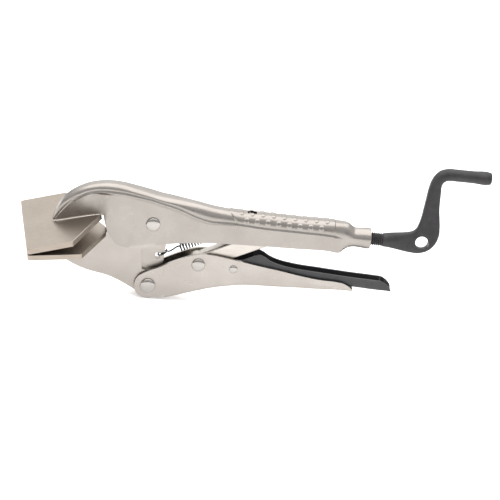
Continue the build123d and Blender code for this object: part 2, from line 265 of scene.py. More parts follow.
def nickel(name, light, dark, rough=(0.26, 0.38), grain=0.5, paints_crease_and_edge_light=True):
    """Satin nickel plate: cloudy tone, soft blotches of polish and fine grain.

    Where the mesh is fine enough, the switch paints shade into inward creases and a highlight onto sharp
    outward edges.
    """
    s = Shader(name)
    cloud = s.noise(55, detail=4)
    blotch = s.noise(260, detail=3)
    fine = s.noise(2300, detail=2)
    wave = s.noise(420, detail=2)
    tone = s.mix(s.spread(cloud, 0, 1), light, dark)
    blotches_and_edge_highlight = s.mix(s.spread(blotch, 0.0, 0.22), tone, scaled(light, 1.12))
    if paints_crease_and_edge_light:
        # painted shade: darker where the mesh folds inward
        painted_crease_shade = s.mix(s.edges(0.49, 0.44), blotches_and_edge_highlight, scaled(dark, 0.62, 0.58, 0.53))
        # painted highlight: lighter on sharp outward edges
        blotches_and_edge_highlight = s.mix(s.edges(0.54, 0.62), painted_crease_shade, scaled(light, 1.2))
    s.colour(blotches_and_edge_highlight)
    s.roughness(s.spread(blotch, *rough))
    s.bumps((wave, 0.00006, 0.25), (fine, 0.000018, grain))
    return s.material


def brushed(name, light, dark, stretch):
    """Plated plate with long parallel grinding marks, drawn out along the axis of small stretch."""
    s = Shader(name)
    lines = s.noise(900, stretch, detail=4, rough=0.65)
    cloud = s.noise(48, detail=3)
    tone = s.mix(s.spread(cloud, 0, 1), light, dark)
    s.colour(s.mix(s.spread(lines, 0.0, 0.25), tone, scaled(dark, 0.78)))
    s.roughness(s.spread(lines, 0.3, 0.42))
    s.bumps((cloud, 0.00004, 0.12), (lines, 0.00001, 0.5))
    return s.material


def black_coat(name, dark, light, rough, metallic, grain, depth):
    """Black oxide or paint: mottled, paler on sharp outward edges."""
    s = Shader(name, metallic)
    cloud = s.noise(140, detail=5, rough=0.6)
    fine = s.noise(grain, detail=4, rough=0.6)
    tone = s.mix(s.spread(cloud, 0, 1), dark, light)
    s.colour(s.mix(s.edges(0.55, 0.66), tone, (0.2, 0.19, 0.18)))
    s.roughness(s.spread(fine, *rough))
    s.bumps((cloud, depth * 2, 0.3), (fine, depth, 0.5))
    return s.material


NICKEL = nickel("satin_nickel", (0.365, 0.338, 0.312), (0.325, 0.298, 0.271), grain=0.6)
# the body's nickel again, painted lighter on the handle to make up for the weaker light on its sides
HANDLE_NICKEL_PAINTED_LIGHTER = nickel("nickel_painted_lighter_for_handle", (0.445, 0.413, 0.381), (0.395, 0.361, 0.329), grain=0.6)
NICKEL_JAW = nickel("nickel_jaw", (0.43, 0.398, 0.365), (0.382, 0.352, 0.32), (0.3, 0.42), 0.7, False)
PLATE_FINISH = brushed("brushed_plate", (0.39, 0.338, 0.288), (0.352, 0.304, 0.255), (0.06, 1.0, 1.0))
LINK_FINISH = brushed("link_plate", (0.62, 0.58, 0.53), (0.53, 0.49, 0.44), (0.08, 1.0, 1.0))
RIVET = nickel("rivet_head", (0.45, 0.425, 0.40), (0.39, 0.365, 0.34), (0.15, 0.24), 0.25)
WELD = nickel("weld_bead", (0.74, 0.70, 0.64), (0.60, 0.56, 0.51), (0.22, 0.35), 0.5)
LEVER_COAT = black_coat("black_lever", (0.028, 0.028, 0.030), (0.043, 0.043, 0.046), (0.36, 0.48),
                        metallic=0.0, grain=1400, depth=0.00002)
CRANK_COAT = black_coat("black_oxide", (0.030, 0.028, 0.030), (0.050, 0.047, 0.049), (0.42, 0.58),
                        metallic=0.35, grain=1100, depth=0.00005)
SPRING_COAT = black_coat("spring_wire", (0.018, 0.018, 0.020), (0.04, 0.04, 0.042), (0.28, 0.4),
                         metallic=0.6, grain=2000, depth=0.00001)


# ---- mesh helpers ----
BEVEL_SMOOTH = 40.0
RIPPLE_PITCH = 1.6


class Rail:
    """A smooth line through key rows, sampled by the distance along its first line."""

    def __init__(self, places, keys, corners=()):
        self.places = np.array(places, float)
        self.keys = np.array(keys, float)
        steps = np.diff(self.places)[:, None]
        slopes = np.diff(self.keys, axis=0) / steps
        middle = (slopes[:-1] * steps[1:] + slopes[1:] * steps[:-1]) / (steps[1:] + steps[:-1])
        self.leaving = np.vstack([slopes[:1], middle, slopes[-1:]])
        self.coming = self.leaving.copy()
        for corner in corners:
            self.coming[corner] = slopes[corner - 1]
            self.leaving[corner] = slopes[corner]

    def at(self, place):
        """The interpolated rows at the given places."""
        place = np.clip(place, self.places[0], self.places[-1])
        k = np.clip(np.searchsorted(self.places, place, side="right") - 1, 0, len(self.places) - 2)
        h = self.places[k + 1] - self.places[k]
        t = ((place - self.places[k]) / h)[..., None]
        h = np.asarray(h)[..., None]
        a, b = self.keys[k], self.keys[k + 1]
        m, n = self.leaving[k] * h, self.coming[k + 1] * h
        return ((2 * t**3 - 3 * t**2 + 1) * a + (t**3 - 2 * t**2 + t) * m
                + (3 * t**2 - 2 * t**3) * b + (t**3 - t**2) * n)


def chord_places(points):
    """Running length along a list of points."""
    points = np.array(points, float)
    return np.concatenate([[0], np.cumsum(np.linalg.norm(np.diff(points, axis=0), axis=1))])


def smooth_line(points, count, corners=()):
    """The points of a smooth line through the given ones, evenly spaced."""
    places = chord_places(points)
    rail = Rail(places, points, corners)
    fine = rail.at(np.linspace(0, places[-1], 12 * count))
    run = chord_places(fine)
    even = np.linspace(0, run[-1], count)
    return np.stack([np.interp(even, run, fine[:, i]) for i in range(fine.shape[1])], axis=1)


def smoothstep(value, low, high):
    """A soft step from 0 at low to 1 at high."""
    t = np.clip((value - low) / (high - low), 0, 1)
    return t * t * (3 - 2 * t)


def key_columns(places, count):
    """Evenly spaced places in each span between two key rows."""
    spans = [np.linspace(start, stop, count) for start, stop in zip(places[:-1], places[1:])]
    return np.unique(np.concatenate(spans))


def mirrored(rows):
    """Rows of points on the other side of the middle plane."""
    return [np.stack([row[:, 0], -row[:, 1], row[:, 2]], axis=1) for row in rows]


def wall_rows(start, stop, y, tuck, count):
    """Rows down a wall between two side-view lines, drawn in by tuck at its foot."""
    rows = []
    for f in np.linspace(0, 1, count):
        x, z = (start + f * (stop - start)).T
        rows.append(np.stack([x, y - tuck * f, z], axis=1))
    return rows


def fold_rows(x, wall_y, low_z, radius, count):
    """Rows round the fold at a wall's foot, then across the floor to the middle plane."""
    rows = []
    for a in np.linspace(0, math.pi / 2, count)[1:]:
        y = wall_y - radius * (1 - math.cos(a))
        z = low_z + radius * (1 - math.sin(a))
        rows.append(np.stack([x, y, z], axis=1))
    edge = rows[-1]
    for f in (0.5, 1.0):
        rows.append(np.stack([edge[:, 0], edge[:, 1] * (1 - f), edge[:, 2]], axis=1))
    return rows


def add_object(name, vertices, faces, material, body, smooth_angle=35.0):
    """A mesh piece from millimetre points, shaded smooth except at edges sharper than the angle."""
    mesh = bpy.data.meshes.new(name)
    mesh.from_pydata([tuple(c * MM for c in v) for v in vertices], [], faces)
    mesh.materials.append(material)
    mesh.validate()
    piece = bpy.data.objects.new(name, mesh)
    bpy.context.scene.collection.objects.link(piece)
    clean = bmesh.new()
    clean.from_mesh(mesh)
    bmesh.ops.remove_doubles(clean, verts=clean.verts, dist=0.00001)
    bmesh.ops.dissolve_degenerate(clean, edges=clean.edges, dist=0.000005)
    bmesh.ops.recalc_face_normals(clean, faces=clean.faces)
    clean.to_mesh(mesh)
    clean.free()
    shade(piece, smooth_angle)
    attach(piece, body)
    return piece


def shade(piece, angle):
    """Smooth shading that breaks at edges sharper than the angle."""
    piece.data.shade_smooth()
    piece.data.set_sharp_from_angle(angle=math.radians(angle))


def grid_faces(rows, columns, keep=None, close=False):
    """Quads of a grid whose vertex number is column * rows + row."""
    faces = []
    for i in range(columns - 1):
        for j in range(rows if close else rows - 1):
            if keep is None or keep(i, j):
                k = (j + 1) % rows
                faces.append((i * rows + j, (i + 1) * rows + j, (i + 1) * rows + k, i * rows + k))
    return faces


def tube_faces(sides, rings):
    """Faces of a tube of rings with a flat cap at each end."""
    last = (rings - 1) * sides
    caps = [tuple(reversed(range(sides))), tuple(range(last, last + sides))]
    return grid_faces(sides, rings, close=True) + caps


def ring_angles(sides):
    """The angles of a ring's corners."""
    return [2 * math.pi * k / sides for k in range(sides)]


def apply_modifier(piece, kind, **settings):
    """Add a modifier and bake it into the mesh."""
    modifier = piece.modifiers.new(kind.lower(), kind)
    for key, value in settings.items():
        setattr(modifier, key, value)
    graph = bpy.context.evaluated_depsgraph_get()
    mesh = bpy.data.meshes.new_from_object(piece.evaluated_get(graph))
    piece.modifiers.clear()
    old = piece.data
    piece.data = mesh
    mesh.name = old.name
    bpy.data.meshes.remove(old)


def bevel(piece, width, angle, segments):
    """Round the edges sharper than the angle, then shade the piece smooth."""
    apply_modifier(piece, "BEVEL", width=width * MM, segments=segments, limit_method="ANGLE",
                   angle_limit=math.radians(angle))
    shade(piece, BEVEL_SMOOTH)


def round_edges(piece, width, angle, segments=2):
    """Bevel a piece, and keep the flat faces beside its round edges flat in the light."""
    bevel(piece, width, angle, segments)
    apply_modifier(piece, "WEIGHTED_NORMAL", keep_sharp=True, weight=90)


def thicken(piece, thickness, rim=0.3, angle=50.0):
    """Turn a sheet into solid metal on its inner side, with rounded cut edges."""
    apply_modifier(piece, "SOLIDIFY", thickness=thickness * MM, offset=-1, use_even_offset=True,
                   thickness_clamp=0.5)
    round_edges(piece, rim, angle)


# ---- stamped main body ----
# each row: top outline, crease under the bead, lower edge, half-widths of bead and side wall
BODY_ROWS = [
    ((18.3, 9.6), (18.9, 9.9), (19.3, 9.7), 1.0, 0.9),
    ((18.9, 14.0), (20.7, 13.6), (21.1, 10.1), 2.2, 1.9),
    ((20.2, 18.8), (23.0, 18.0), (24.0, 11.0), 3.3, 2.3),
    ((23.4, 26.8), (27.5, 24.7), (28.5, 12.5), 4.3, 2.5),
    ((27.5, 32.2), (31.5, 29.4), (32.5, 13.7), 4.8, 2.6),
    ((34.1, 37.6), (37.4, 33.8), (38.5, 15.5), 5.2, 2.8),
    ((40.1, 40.9), (42.4, 36.4), (43.6, 17.1), 5.5, 3.0),
    ((47.3, 43.3), (48.2, 38.0), (49.2, 18.9), 5.9, 3.9),
    ((54.0, 44.5), (54.3, 38.7), (53.8, 20.3), 6.3, 5.4),
    ((60.0, 44.6), (59.8, 38.8), (56.2, 13.0), 6.6, 6.5),
    ((66.7, 44.1), (66.0, 38.7), (60.4, 4.9), 6.9, 6.9),
    ((73.0, 42.9), (72.0, 38.1), (65.4, -0.4), 7.1, 6.9),
    ((79.9, 41.6), (79.2, 37.2), (73.6, -2.5), 7.3, 6.9),
    ((86.5, 40.2), (86.0, 36.3), (81.5, -1.5), 7.4, 6.9),
    ((93.2, 38.8), (92.5, 34.7), (90.6, 0.7), 7.4, 6.9),
    ((106.4, 37.1), (106.0, 31.4), (106.0, 3.9), 7.4, 6.9),
    ((121.7, 34.9), (121.5, 25.9), (121.5, 6.1), 7.4, 6.9),
    ((132.0, 33.0), (131.5, 23.8), (132.0, 7.2), 7.3, 6.9),
    ((142.2, 31.9), (141.6, 23.9), (142.2, 7.8), 7.2, 6.9),
    ((152.0, 31.1), (151.0, 23.8), (152.0, 8.3), 7.2, 6.9),
    ((168.0, 31.1), (168.0, 22.9), (168.0, 8.8), 7.2, 6.9),
    ((196.0, 30.6), (196.0, 22.6), (196.0, 9.6), 7.2, 6.9),
    ((220.0, 31.1), (220.0, 22.0), (219.0, 10.1), 7.2, 6.9),
    ((225.4, 31.1), (225.4, 21.4), (224.6, 9.6), 7.2, 6.95),
    ((229.8, 30.7), (229.8, 20.9), (228.2, 10.5), 7.2, 7.1),
    ((232.8, 29.0), (232.8, 20.5), (232.2, 12.6), 7.15, 7.1),
    ((235.0, 27.6), (235.0, 20.4), (235.0, 13.2), 7.0, 7.0),
    ((240.0, 27.6), (240.0, 20.4), (240.0, 13.2), 7.1, 7.1),
    ((246.3, 27.8), (246.3, 20.4), (246.3, 13.0), 7.4, 7.4),
    ((247.0, 27.6), (247.0, 20.4), (247.0, 13.2), 7.2, 7.2),
]
BODY_CORNER = 8
BODY_SHEET = 2.0
BEAD_ROWS = 34
LIP_ROWS = 5
# along X: how far the bead's lower edge flares out, and how tall that flare is
LIP_X = [18, 30, 55, 80, 120, 145, 220, 227]
LIP_OUT = [0.2, 0.7, 0.7, 0.5, 0.4, 0.6, 0.6, 0.0]
LIP_TALL = [0.5, 1.7, 2.0, 2.0, 2.2, 1.9, 1.9, 0.6]
# along X: how far below the crease the side wall has drawn in to its own width
ROLL_X = [18, 30, 60, 120, 142, 152]
ROLL_DEEP = [0.8, 1.6, 2.6, 3.4, 1.4, 0.8]
# rows of the side wall: the first ones at these depths, the rest even, the last pair close to the edge
PANEL_ROWS = 17
PANEL_NEAR = [0.35, 0.8, 1.3, 1.9, 2.6, 3.4, 4.4]
PANEL_NEAR_SHARE = 0.6
EDGE_ROW = 0.5
EDGE_SHARE = 0.2
RIDGE_FLAT = 2.0
SLOT_X = (156.6, 163.2)
GRIP_X = (143.5, 220.5)
GRIP_SLANT = 6.0
GRIP_RAISE = 0.55
NECK_X = (225.4, 234.8)
DIMPLE_PITCH = 7.75
DIMPLE_R = 2.05
DIMPLE_HIGH = 0.45
# each row of dots on one side: X of the first dot, number of dots, distance from the ridge's middle line
DIMPLE_ROWS = [(152.2, 9, 2.9), (156.1, 8, 8.2)]
GRIP_STEP = 0.32
BODY_STEP = 0.9


def body_columns():
    """Places along the top outline, finer over the dimpled grip."""
    tops = [row[0] for row in BODY_ROWS]
    places = chord_places(tops)
    spans = []
    for k in range(len(tops) - 1):
        fine = GRIP_X[0] - 8 < tops[k][0] < GRIP_X[1]
        count = max(2, round((places[k + 1] - places[k]) / (GRIP_STEP if fine else BODY_STEP)))
        spans.append(np.linspace(places[k], places[k + 1], count, endpoint=False))
    return places, np.concatenate(spans + [places[-1:]])


def dimple_height(x, arc):
    """Raised dots on the grip: two rows down each side, in turn."""
    gaps = []
    for first, number, across in DIMPLE_ROWS:
        k = np.clip(np.round((x - first) / DIMPLE_PITCH), 0, number - 1)
        gaps.append(np.hypot(x - (k * DIMPLE_PITCH + first), arc - across))
    return DIMPLE_HIGH * smoothstep(-np.minimum(*gaps), -DIMPLE_R, -0.55 * DIMPLE_R)


def grip_rise(x, arc, phi):
    """How far the grip's pad and dots stand out of the ridge, at an angle round it."""
    front = GRIP_X[0] + GRIP_SLANT * (phi / (math.pi / 2)) ** 1.5
    pad = smoothstep(x, front, front + 1.0) * (1 - smoothstep(x, GRIP_X[1] - 0.7, GRIP_X[1]))
    return pad * (GRIP_RAISE + dimple_height(x, arc))


def ridge_rows(top, crease, bead, neck):
    """Rows from the middle plane over the rounded ridge, down to where its lower edge flares."""
    flat = RIDGE_FLAT * np.clip((bead - 1.0) / 3.0, 0.15, 1) * (1 - neck)
    drop = crease - top
    depth = np.hypot(drop[:, 0], drop[:, 1])
    down = drop / depth[:, None]
    upright = 1 - np.minimum(np.interp(top[:, 0], LIP_X, LIP_TALL) / depth, 0.4)
    arc = np.zeros(len(top))
    last = np.stack([top[:, 0], arc, top[:, 1]], axis=1)
    rows = []
    for k, phi in enumerate([0.0, *np.linspace(0, math.pi / 2, BEAD_ROWS)]):
        place = top + ((1 - math.cos(phi)) * upright)[:, None] * drop
        y = np.zeros(len(top)) if k == 0 else flat + (bead - flat) * math.sin(phi)
        point = np.stack([place[:, 0], y, place[:, 1]], axis=1)
        arc = arc + np.linalg.norm(point - last, axis=1)
        last = point
        lift = math.cos(phi)
        out = np.stack([-lift * down[:, 0], np.full(len(top), math.sin(phi)), -lift * down[:, 1]], axis=1)
        rows.append(point + grip_rise(place[:, 0], arc, phi)[:, None] * out)
    return rows


def lip_rows(edge, crease, lip):
    """Rows down the flare between the ridge's edge and the crease."""
    foot = np.stack([crease[:, 0], edge[:, 1], crease[:, 1]], axis=1)
    rows = []
    for f in np.linspace(0, 1, LIP_ROWS + 1)[1:]:
        flare = edge + f * (foot - edge)
        flare[:, 1] += lip * f * f
        rows.append(flare)
    return rows


def panel_reach(length, j):
    """How far below the crease side-wall row j lies."""
    close = len(PANEL_NEAR)
    if j == PANEL_ROWS:
        return length
    if j <= close:
        return np.minimum(PANEL_NEAR[j - 1], PANEL_NEAR_SHARE * length * j / close)
    start = np.minimum(PANEL_NEAR[-1], PANEL_NEAR_SHARE * length)
    stop = length - np.minimum(EDGE_ROW, EDGE_SHARE * length)
    return start + (stop - start) * (j - close) / (PANEL_ROWS - close - 1)


def panel_rows(crease, low, lip_y, wall, roll, neck):
    """Rows down the side wall, which turns into the lower half of a round tube at the neck."""
    drop = low - crease
    length = np.hypot(drop[:, 0], drop[:, 1])
    rows = []
    for j in range(1, PANEL_ROWS + 1):
        reach = panel_reach(length, j)
        f = reach / length
        psi = f * math.pi / 2
        y = lip_y + (wall - lip_y) * smoothstep(reach, 0.0, roll)
        y = y * (1 - neck) + neck * wall * np.cos(psi)
        z = crease[:, 1] + drop[:, 1] * (f * (1 - neck) + neck * np.sin(psi))
        rows.append(np.stack([crease[:, 0] + f * drop[:, 0], y, z], axis=1))
    return rows


def make_main_body():
    """The folded sheet: rounded ridge, flared crease and side wall, mirrored, with the slot left out."""
    places, columns = body_columns()
    sections = np.array([[*row[0], *row[1], *row[2], row[3], row[4]] for row in BODY_ROWS])
    line = Rail(places, sections, (BODY_CORNER,)).at(columns)
    top, crease, low, bead, wall = line[:, 0:2], line[:, 2:4], line[:, 4:6], line[:, 6], line[:, 7]
    x_top = top[:, 0]
    neck = smoothstep(x_top, *NECK_X)
    half = ridge_rows(top, crease, bead, neck)
    half += lip_rows(half[-1], crease, np.interp(x_top, LIP_X, LIP_OUT))
    half += panel_rows(crease, low, half[-1][:, 1], wall, np.interp(x_top, ROLL_X, ROLL_DEEP), neck)
    rows = mirrored(half[:0:-1]) + half
    middle = len(half) - 1

    def keep(i, j):
        in_slot = SLOT_X[0] < x_top[i] < SLOT_X[1]
        return not (in_slot and j in (middle - 1, middle))

    vertices = np.stack(rows, axis=1).reshape(-1, 3)
    body = add_object("body_shell", vertices, grid_faces(len(rows), len(columns), keep), NICKEL, "body")
    thicken(body, BODY_SHEET, 0.28)
    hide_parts("main_body")


TAB_LINE = [(159.6, 29.9), (158.2, 29.2), (157.5, 27.6), (157.3, 24.0), (157.3, 20.2)]
TAB_ROWS = (-1.9, -0.8, 0.8, 1.9)
TAB_SHEET = 1.4


def make_spring_tab():
    """The tongue lanced from the ridge and bent down, which the spring hooks into."""
    path = smooth_line(TAB_LINE, 14)
    vertices = [(x, y, z) for x, z in path for y in TAB_ROWS]
    tab = add_object("spring_tab", vertices, grid_faces(len(TAB_ROWS), len(path)), NICKEL, "body")
    thicken(tab, TAB_SHEET, 0.2)


def sweep(name, path, radius, material, body, sides=12, ripple=0.0):
    """A round bar or bead along a 3-D path, with optional ripples."""
    path = [Vector(p) for p in path]
    vertices = []
    up = Vector((0, 1, 0))
    run = 0.0
    for i, point in enumerate(path):
        ahead = (path[min(i + 1, len(path) - 1)] - path[max(i - 1, 0)]).normalized()
        side = ahead.cross(up).normalized()
        up = side.cross(ahead).normalized()
        if i:
            run += (point - path[i - 1]).length
        r = radius(i / (len(path) - 1)) if callable(radius) else radius
        r *= 1 + ripple * math.sin(2 * math.pi * run / RIPPLE_PITCH)
        for a in ring_angles(sides):
            vertices.append(point + r * (math.cos(a) * side + math.sin(a) * up))
    return add_object(name, vertices, tube_faces(sides, len(path)), material, body, 50)


# ---- weld beads ----
WELD_R = 0.75
NOSE_WELD = [(19.0, 0.0, 10.2), (19.2, 1.2, 10.4), (21.0, 2.3, 11.0), (28.0, 2.9, 13.1), (38.0, 3.2, 16.1),
             (46.0, 3.9, 18.5), (52.4, 5.2, 20.5)]
JAW_WELD = [(16.0, 4.6, -2.1), (30.0, 4.7, -0.1), (55.0, 4.7, 3.3)]


def weld_taper(share):
    """The nose bead's radius, which dies away at its rear end."""
    return WELD_R * min(1.0, (1.02 - share) * 14)


def make_welds():
    """Fillet beads where the pinched nose stands on the upper plate and the jaw on the lower one."""
    for side, label in ((-1, "near"), (1, "far")):
        seat = smooth_line([(x, side * y, z) for x, y, z in NOSE_WELD], 90)
        weld = sweep("nose_weld_" + label, seat, weld_taper, WELD, "body", ripple=0.03)
        under = smooth_line([(x, side * y, z) for x, y, z in JAW_WELD], 80)
        weld = sweep("jaw_weld_" + label, under, WELD_R, WELD, "jaw", ripple=0.08)


# ---- lower handle ----
# each row: top edge, bend line of the wall, bottom, half-width
HANDLE_ROWS = [
    ((82.9, -30.6), (82.9, -30.7), (82.9, -30.8), 6.7),
    ((83.6, -27.0), (84.0, -30.5), (83.7, -34.6), 6.7),
    ((85.6, -23.6), (86.4, -30.0), (85.9, -37.8), 6.7),
    ((88.6, -21.3), (90.0, -29.5), (89.6, -40.1), 6.7),
    ((92.6, -18.9), (93.5, -29.0), (93.4, -40.6), 6.7),
    ((98.4, -16.1), (99.0, -28.0), (98.6, -39.8), 6.7),
    ((105.3, -11.8), (105.3, -26.0), (105.3, -39.3), 6.7),
    ((113.8, -7.3), (113.8, -23.0), (113.8, -37.3), 6.7),
    ((121.6, -3.8), (121.6, -20.0), (122.0, -34.2), 6.7),
    ((127.6, -2.2), (127.6, -18.0), (129.0, -31.7), 6.72),
    ((135.0, -2.1), (135.0, -16.0), (136.6, -29.1), 6.85),
    ((148.3, -3.5), (149.0, -14.2), (149.0, -25.8), 7.3),
    ((158.0, -4.9), (159.0, -14.4), (158.4, -24.0), 7.35),
    ((169.5, -6.7), (170.0, -15.0), (170.0, -23.2), 7.35),
    ((185.6, -8.9), (186.0, -15.7), (186.0, -22.5), 7.35),
    ((200.8, -11.3), (201.0, -16.4), (201.0, -21.7), 7.35),
    ((215.7, -12.9), (216.0, -17.0), (216.0, -21.1), 7.35),
    ((226.7, -13.2), (226.7, -17.6), (226.7, -20.4), 7.35),
    ((231.9, -13.9), (232.0, -17.9), (232.0, -20.2), 7.3),
    ((236.2, -15.9), (236.3, -18.2), (236.3, -19.9), 7.25),
    ((239.4, -18.4), (239.4, -19.0), (239.4, -19.6), 7.2),
]
HANDLE_SHEET = 1.9
HANDLE_REAR_X = (150.0, 170.0)
HANDLE_TUCK = 0.3
# ahead of this row the channel is open below; behind it the walls are folded into a floor
FOLD_ROW = 6
FOLD_R = 2.6
FOLD_SHARE = 0.45
NO_FOLD = 0.01


def make_lower_handle():
    """The folded channel, open above, with two separate cheeks at its front."""
    places = chord_places([row[0] for row in HANDLE_ROWS])
    sections = np.array([[*row[0], *row[1], *row[2], row[3]] for row in HANDLE_ROWS])
    columns = key_columns(places, 7)
    line = Rail(places, sections).at(columns)
    x_top, wide, low_z = line[:, 0], line[:, 6], line[:, 5]
    first = int(np.searchsorted(columns, places[FOLD_ROW] - 1e-6))
    fold_x = HANDLE_ROWS[FOLD_ROW][0][0]
    fold = FOLD_R * (0.6 + 0.4 * smoothstep(x_top, fold_x, fold_x + 8.0))
    fold = np.minimum(fold, FOLD_SHARE * (line[:, 1] - low_z))
    fold[:first] = NO_FOLD
    tuck = HANDLE_TUCK * smoothstep(x_top, *HANDLE_REAR_X)
    foot = np.stack([line[:, 4], low_z + fold], axis=1)
    half = wall_rows(line[:, 0:2], line[:, 2:4], wide, 0.0, 9)
    half += wall_rows(line[:, 2:4], foot, wide, tuck, 9)[1:]
    wall_count = len(half)
    half += fold_rows(line[:, 4], wide - tuck, low_z, fold, 8)
    rows = half + mirrored(half[-2::-1])
    count = len(rows)

    def keep(i, j):
        on_wall = j < wall_count - 1 or j >= count - wall_count
        return on_wall or i >= first

    vertices = np.stack(rows, axis=1).reshape(-1, 3)
    faces = grid_faces(count, len(columns), keep)
    handle = add_object("handle_channel", vertices, faces, HANDLE_NICKEL_PAINTED_LIGHTER, "handle")
    thicken(handle, HANDLE_SHEET, 0.3)
    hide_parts("lower_handle")


# ---- release lever ----
# each row: top edge, bottom, half-width
LEVER_ROWS = [
    ((147.0, -10.6), (147.0, -11.6), 5.05),
    ((148.4, -7.0), (148.4, -15.2), 5.05),
    ((152.0, -5.6), (152.0, -16.9), 5.05),
    ((157.0, -4.8), (157.0, -17.2), 5.05),
    ((163.0, -2.0), (163.0, -17.3), 5.05),
    ((167.5, 0.4), (167.5, -17.3), 5.05),
    ((169.7, 1.0), (169.7, -17.3), 5.05),
    ((172.2, 0.2), (172.2, -17.3), 5.05),
    ((177.8, -3.0), (177.8, -17.2), 5.05),
    ((184.5, -5.3), (184.5, -17.1), 5.05),
    ((193.0, -6.8), (193.0, -17.0), 5.05),
    ((215.4, -8.4), (215.4, -17.0), 5.05),
    ((237.5, -9.6), (237.5, -17.3), 5.05),
    ((255.0, -10.2), (255.0, -18.0), 5.05),
    ((259.4, -10.5), (259.4, -18.1), 5.05),
    ((261.2, -11.2), (261.2, -18.1), 5.0),
    ((264.3, -13.4), (264.3, -18.1), 4.9),
    ((266.4, -15.8), (266.4, -18.0), 4.6),
    ((267.0, -17.0), (267.0, -17.9), 4.3),
]
LEVER_SHEET = 1.25
LEVER_FOLD_R = 2.3


def make_release_lever():
    """The black folded channel inside the lower handle."""
    places = chord_places([row[0] for row in LEVER_ROWS])
    sections = np.array([[*row[0], *row[1], row[2]] for row in LEVER_ROWS])
    columns = key_columns(places, 7)
    line = Rail(places, sections).at(columns)
    low_x, low_z, wide = line[:, 2], line[:, 3], line[:, 4]
    fold = np.minimum(np.minimum(LEVER_FOLD_R, FOLD_SHARE * (line[:, 1] - low_z)), 0.8 * wide)
    foot = np.stack([low_x, low_z + fold], axis=1)
    half = wall_rows(line[:, 0:2], foot, wide, 0.0, 10)
    half += fold_rows(low_x, wide, low_z, fold, 7)
    rows = half + mirrored(half[-2::-1])
    vertices = np.stack(rows, axis=1).reshape(-1, 3)
    lever = add_object("lever_channel", vertices, grid_faces(len(rows), len(columns)), LEVER_COAT, "lever")
    thicken(lever, LEVER_SHEET, 0.25)
    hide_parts("release_lever")


# ---- crank and screw ----
# each row: lower or outer side, upper or inner side, half-thickness, squareness
CRANK_ROWS = [
    ((256.2, 15.5), (256.2, 25.3), 4.8, 2.0),
    ((259.0, 15.4), (259.0, 25.9), 4.6, 2.0),
    ((263.0, 15.0), (263.0, 26.5), 4.3, 2.2),
    ((268.0, 14.3), (267.5, 27.0), 3.9, 2.7),
    ((272.5, 13.7), (271.5, 27.5), 3.5, 3.4),
    ((277.5, 13.2), (274.8, 28.2), 3.2, 4.2),
    ((282.8, 13.3), (276.9, 29.0), 3.2, 4.6),
    ((288.9, 15.6), (278.3, 30.1), 3.2, 4.8),
    ((293.6, 20.5), (279.3, 31.5), 3.2, 4.8),
    ((295.9, 27.2), (279.9, 32.9), 3.2, 4.6),
    ((295.8, 33.2), (280.7, 35.6), 3.2, 4.4),
    ((294.9, 39.8), (281.6, 40.2), 3.2, 4.2),
    ((293.9, 46.3), (282.4, 46.8), 3.3, 4.0),
    ((293.5, 53.3), (283.2, 54.2), 3.6, 3.6),
    ((293.4, 60.0), (284.1, 61.8), 4.0, 3.0),
    ((293.3, 64.0), (285.2, 66.8), 4.3, 2.6),
    ((294.3, 66.6), (287.2, 71.2), 4.4, 2.3),
    ((296.4, 68.2), (290.8, 75.2), 4.5, 2.1),
    ((299.6, 68.6), (296.4, 77.3), 4.5, 2.0),
    ((303.0, 68.6), (302.0, 77.5), 4.45, 2.0),
    ((307.0, 68.6), (307.0, 77.5), 4.45, 2.0),
    ((315.0, 68.6), (315.0, 77.5), 4.45, 2.0),
    ((326.9, 68.6), (326.9, 77.5), 4.45, 2.0),
    ((327.8, 68.9), (327.8, 77.2), 4.15, 2.0),
    ((328.3, 69.6), (328.3, 76.5), 3.45, 2.0),
]
CRANK_SIDES = 48
HOLE_CENTRE = (284.0, 21.6)
HOLE_R = 4.7
HOLE_SIDES = 64
CUTTER_HALF = 12.0
CRANK_LEAN = 10.0
# M10 x 1.5: crest, root, and the plain radius where the ridges run out
THREAD_PITCH = 1.5
THREAD_R = 4.92
THREAD_ROOT = 4.05
RUNOUT_R = THREAD_R - 0.3
THREAD_X = (204.0, 257.2)
THREAD_SIDES = 36
THREAD_STEPS = 10
# share of the half pitch where the flank starts and ends
FLANK = (0.12, 0.82)
SCREW_Z = JOINT_POS["crank_turn"].z


def rounded_power(value, power):
    """The sine or cosine of a ring, squared off more at higher powers."""
    return np.sign(value) * np.abs(value) ** (2.0 / power)


def bore_cutter(centre, radius):
    """A temporary round bar along Y that cuts a hole."""
    vertices = []
    for y in (-CUTTER_HALF, CUTTER_HALF):
        for a in ring_angles(HOLE_SIDES):
            place = (centre[0] + radius * math.cos(a), y, centre[1] + radius * math.sin(a))
            vertices.append(tuple(c * MM for c in place))
    mesh = bpy.data.meshes.new("cutter")
    mesh.from_pydata(vertices, [], tube_faces(HOLE_SIDES, 2))
    solid = bmesh.new()
    solid.from_mesh(mesh)
    bmesh.ops.recalc_face_normals(solid, faces=solid.faces)
    solid.to_mesh(mesh)
    solid.free()
    cutter = bpy.data.objects.new("cutter", mesh)
    bpy.context.scene.collection.objects.link(cutter)
    return cutter


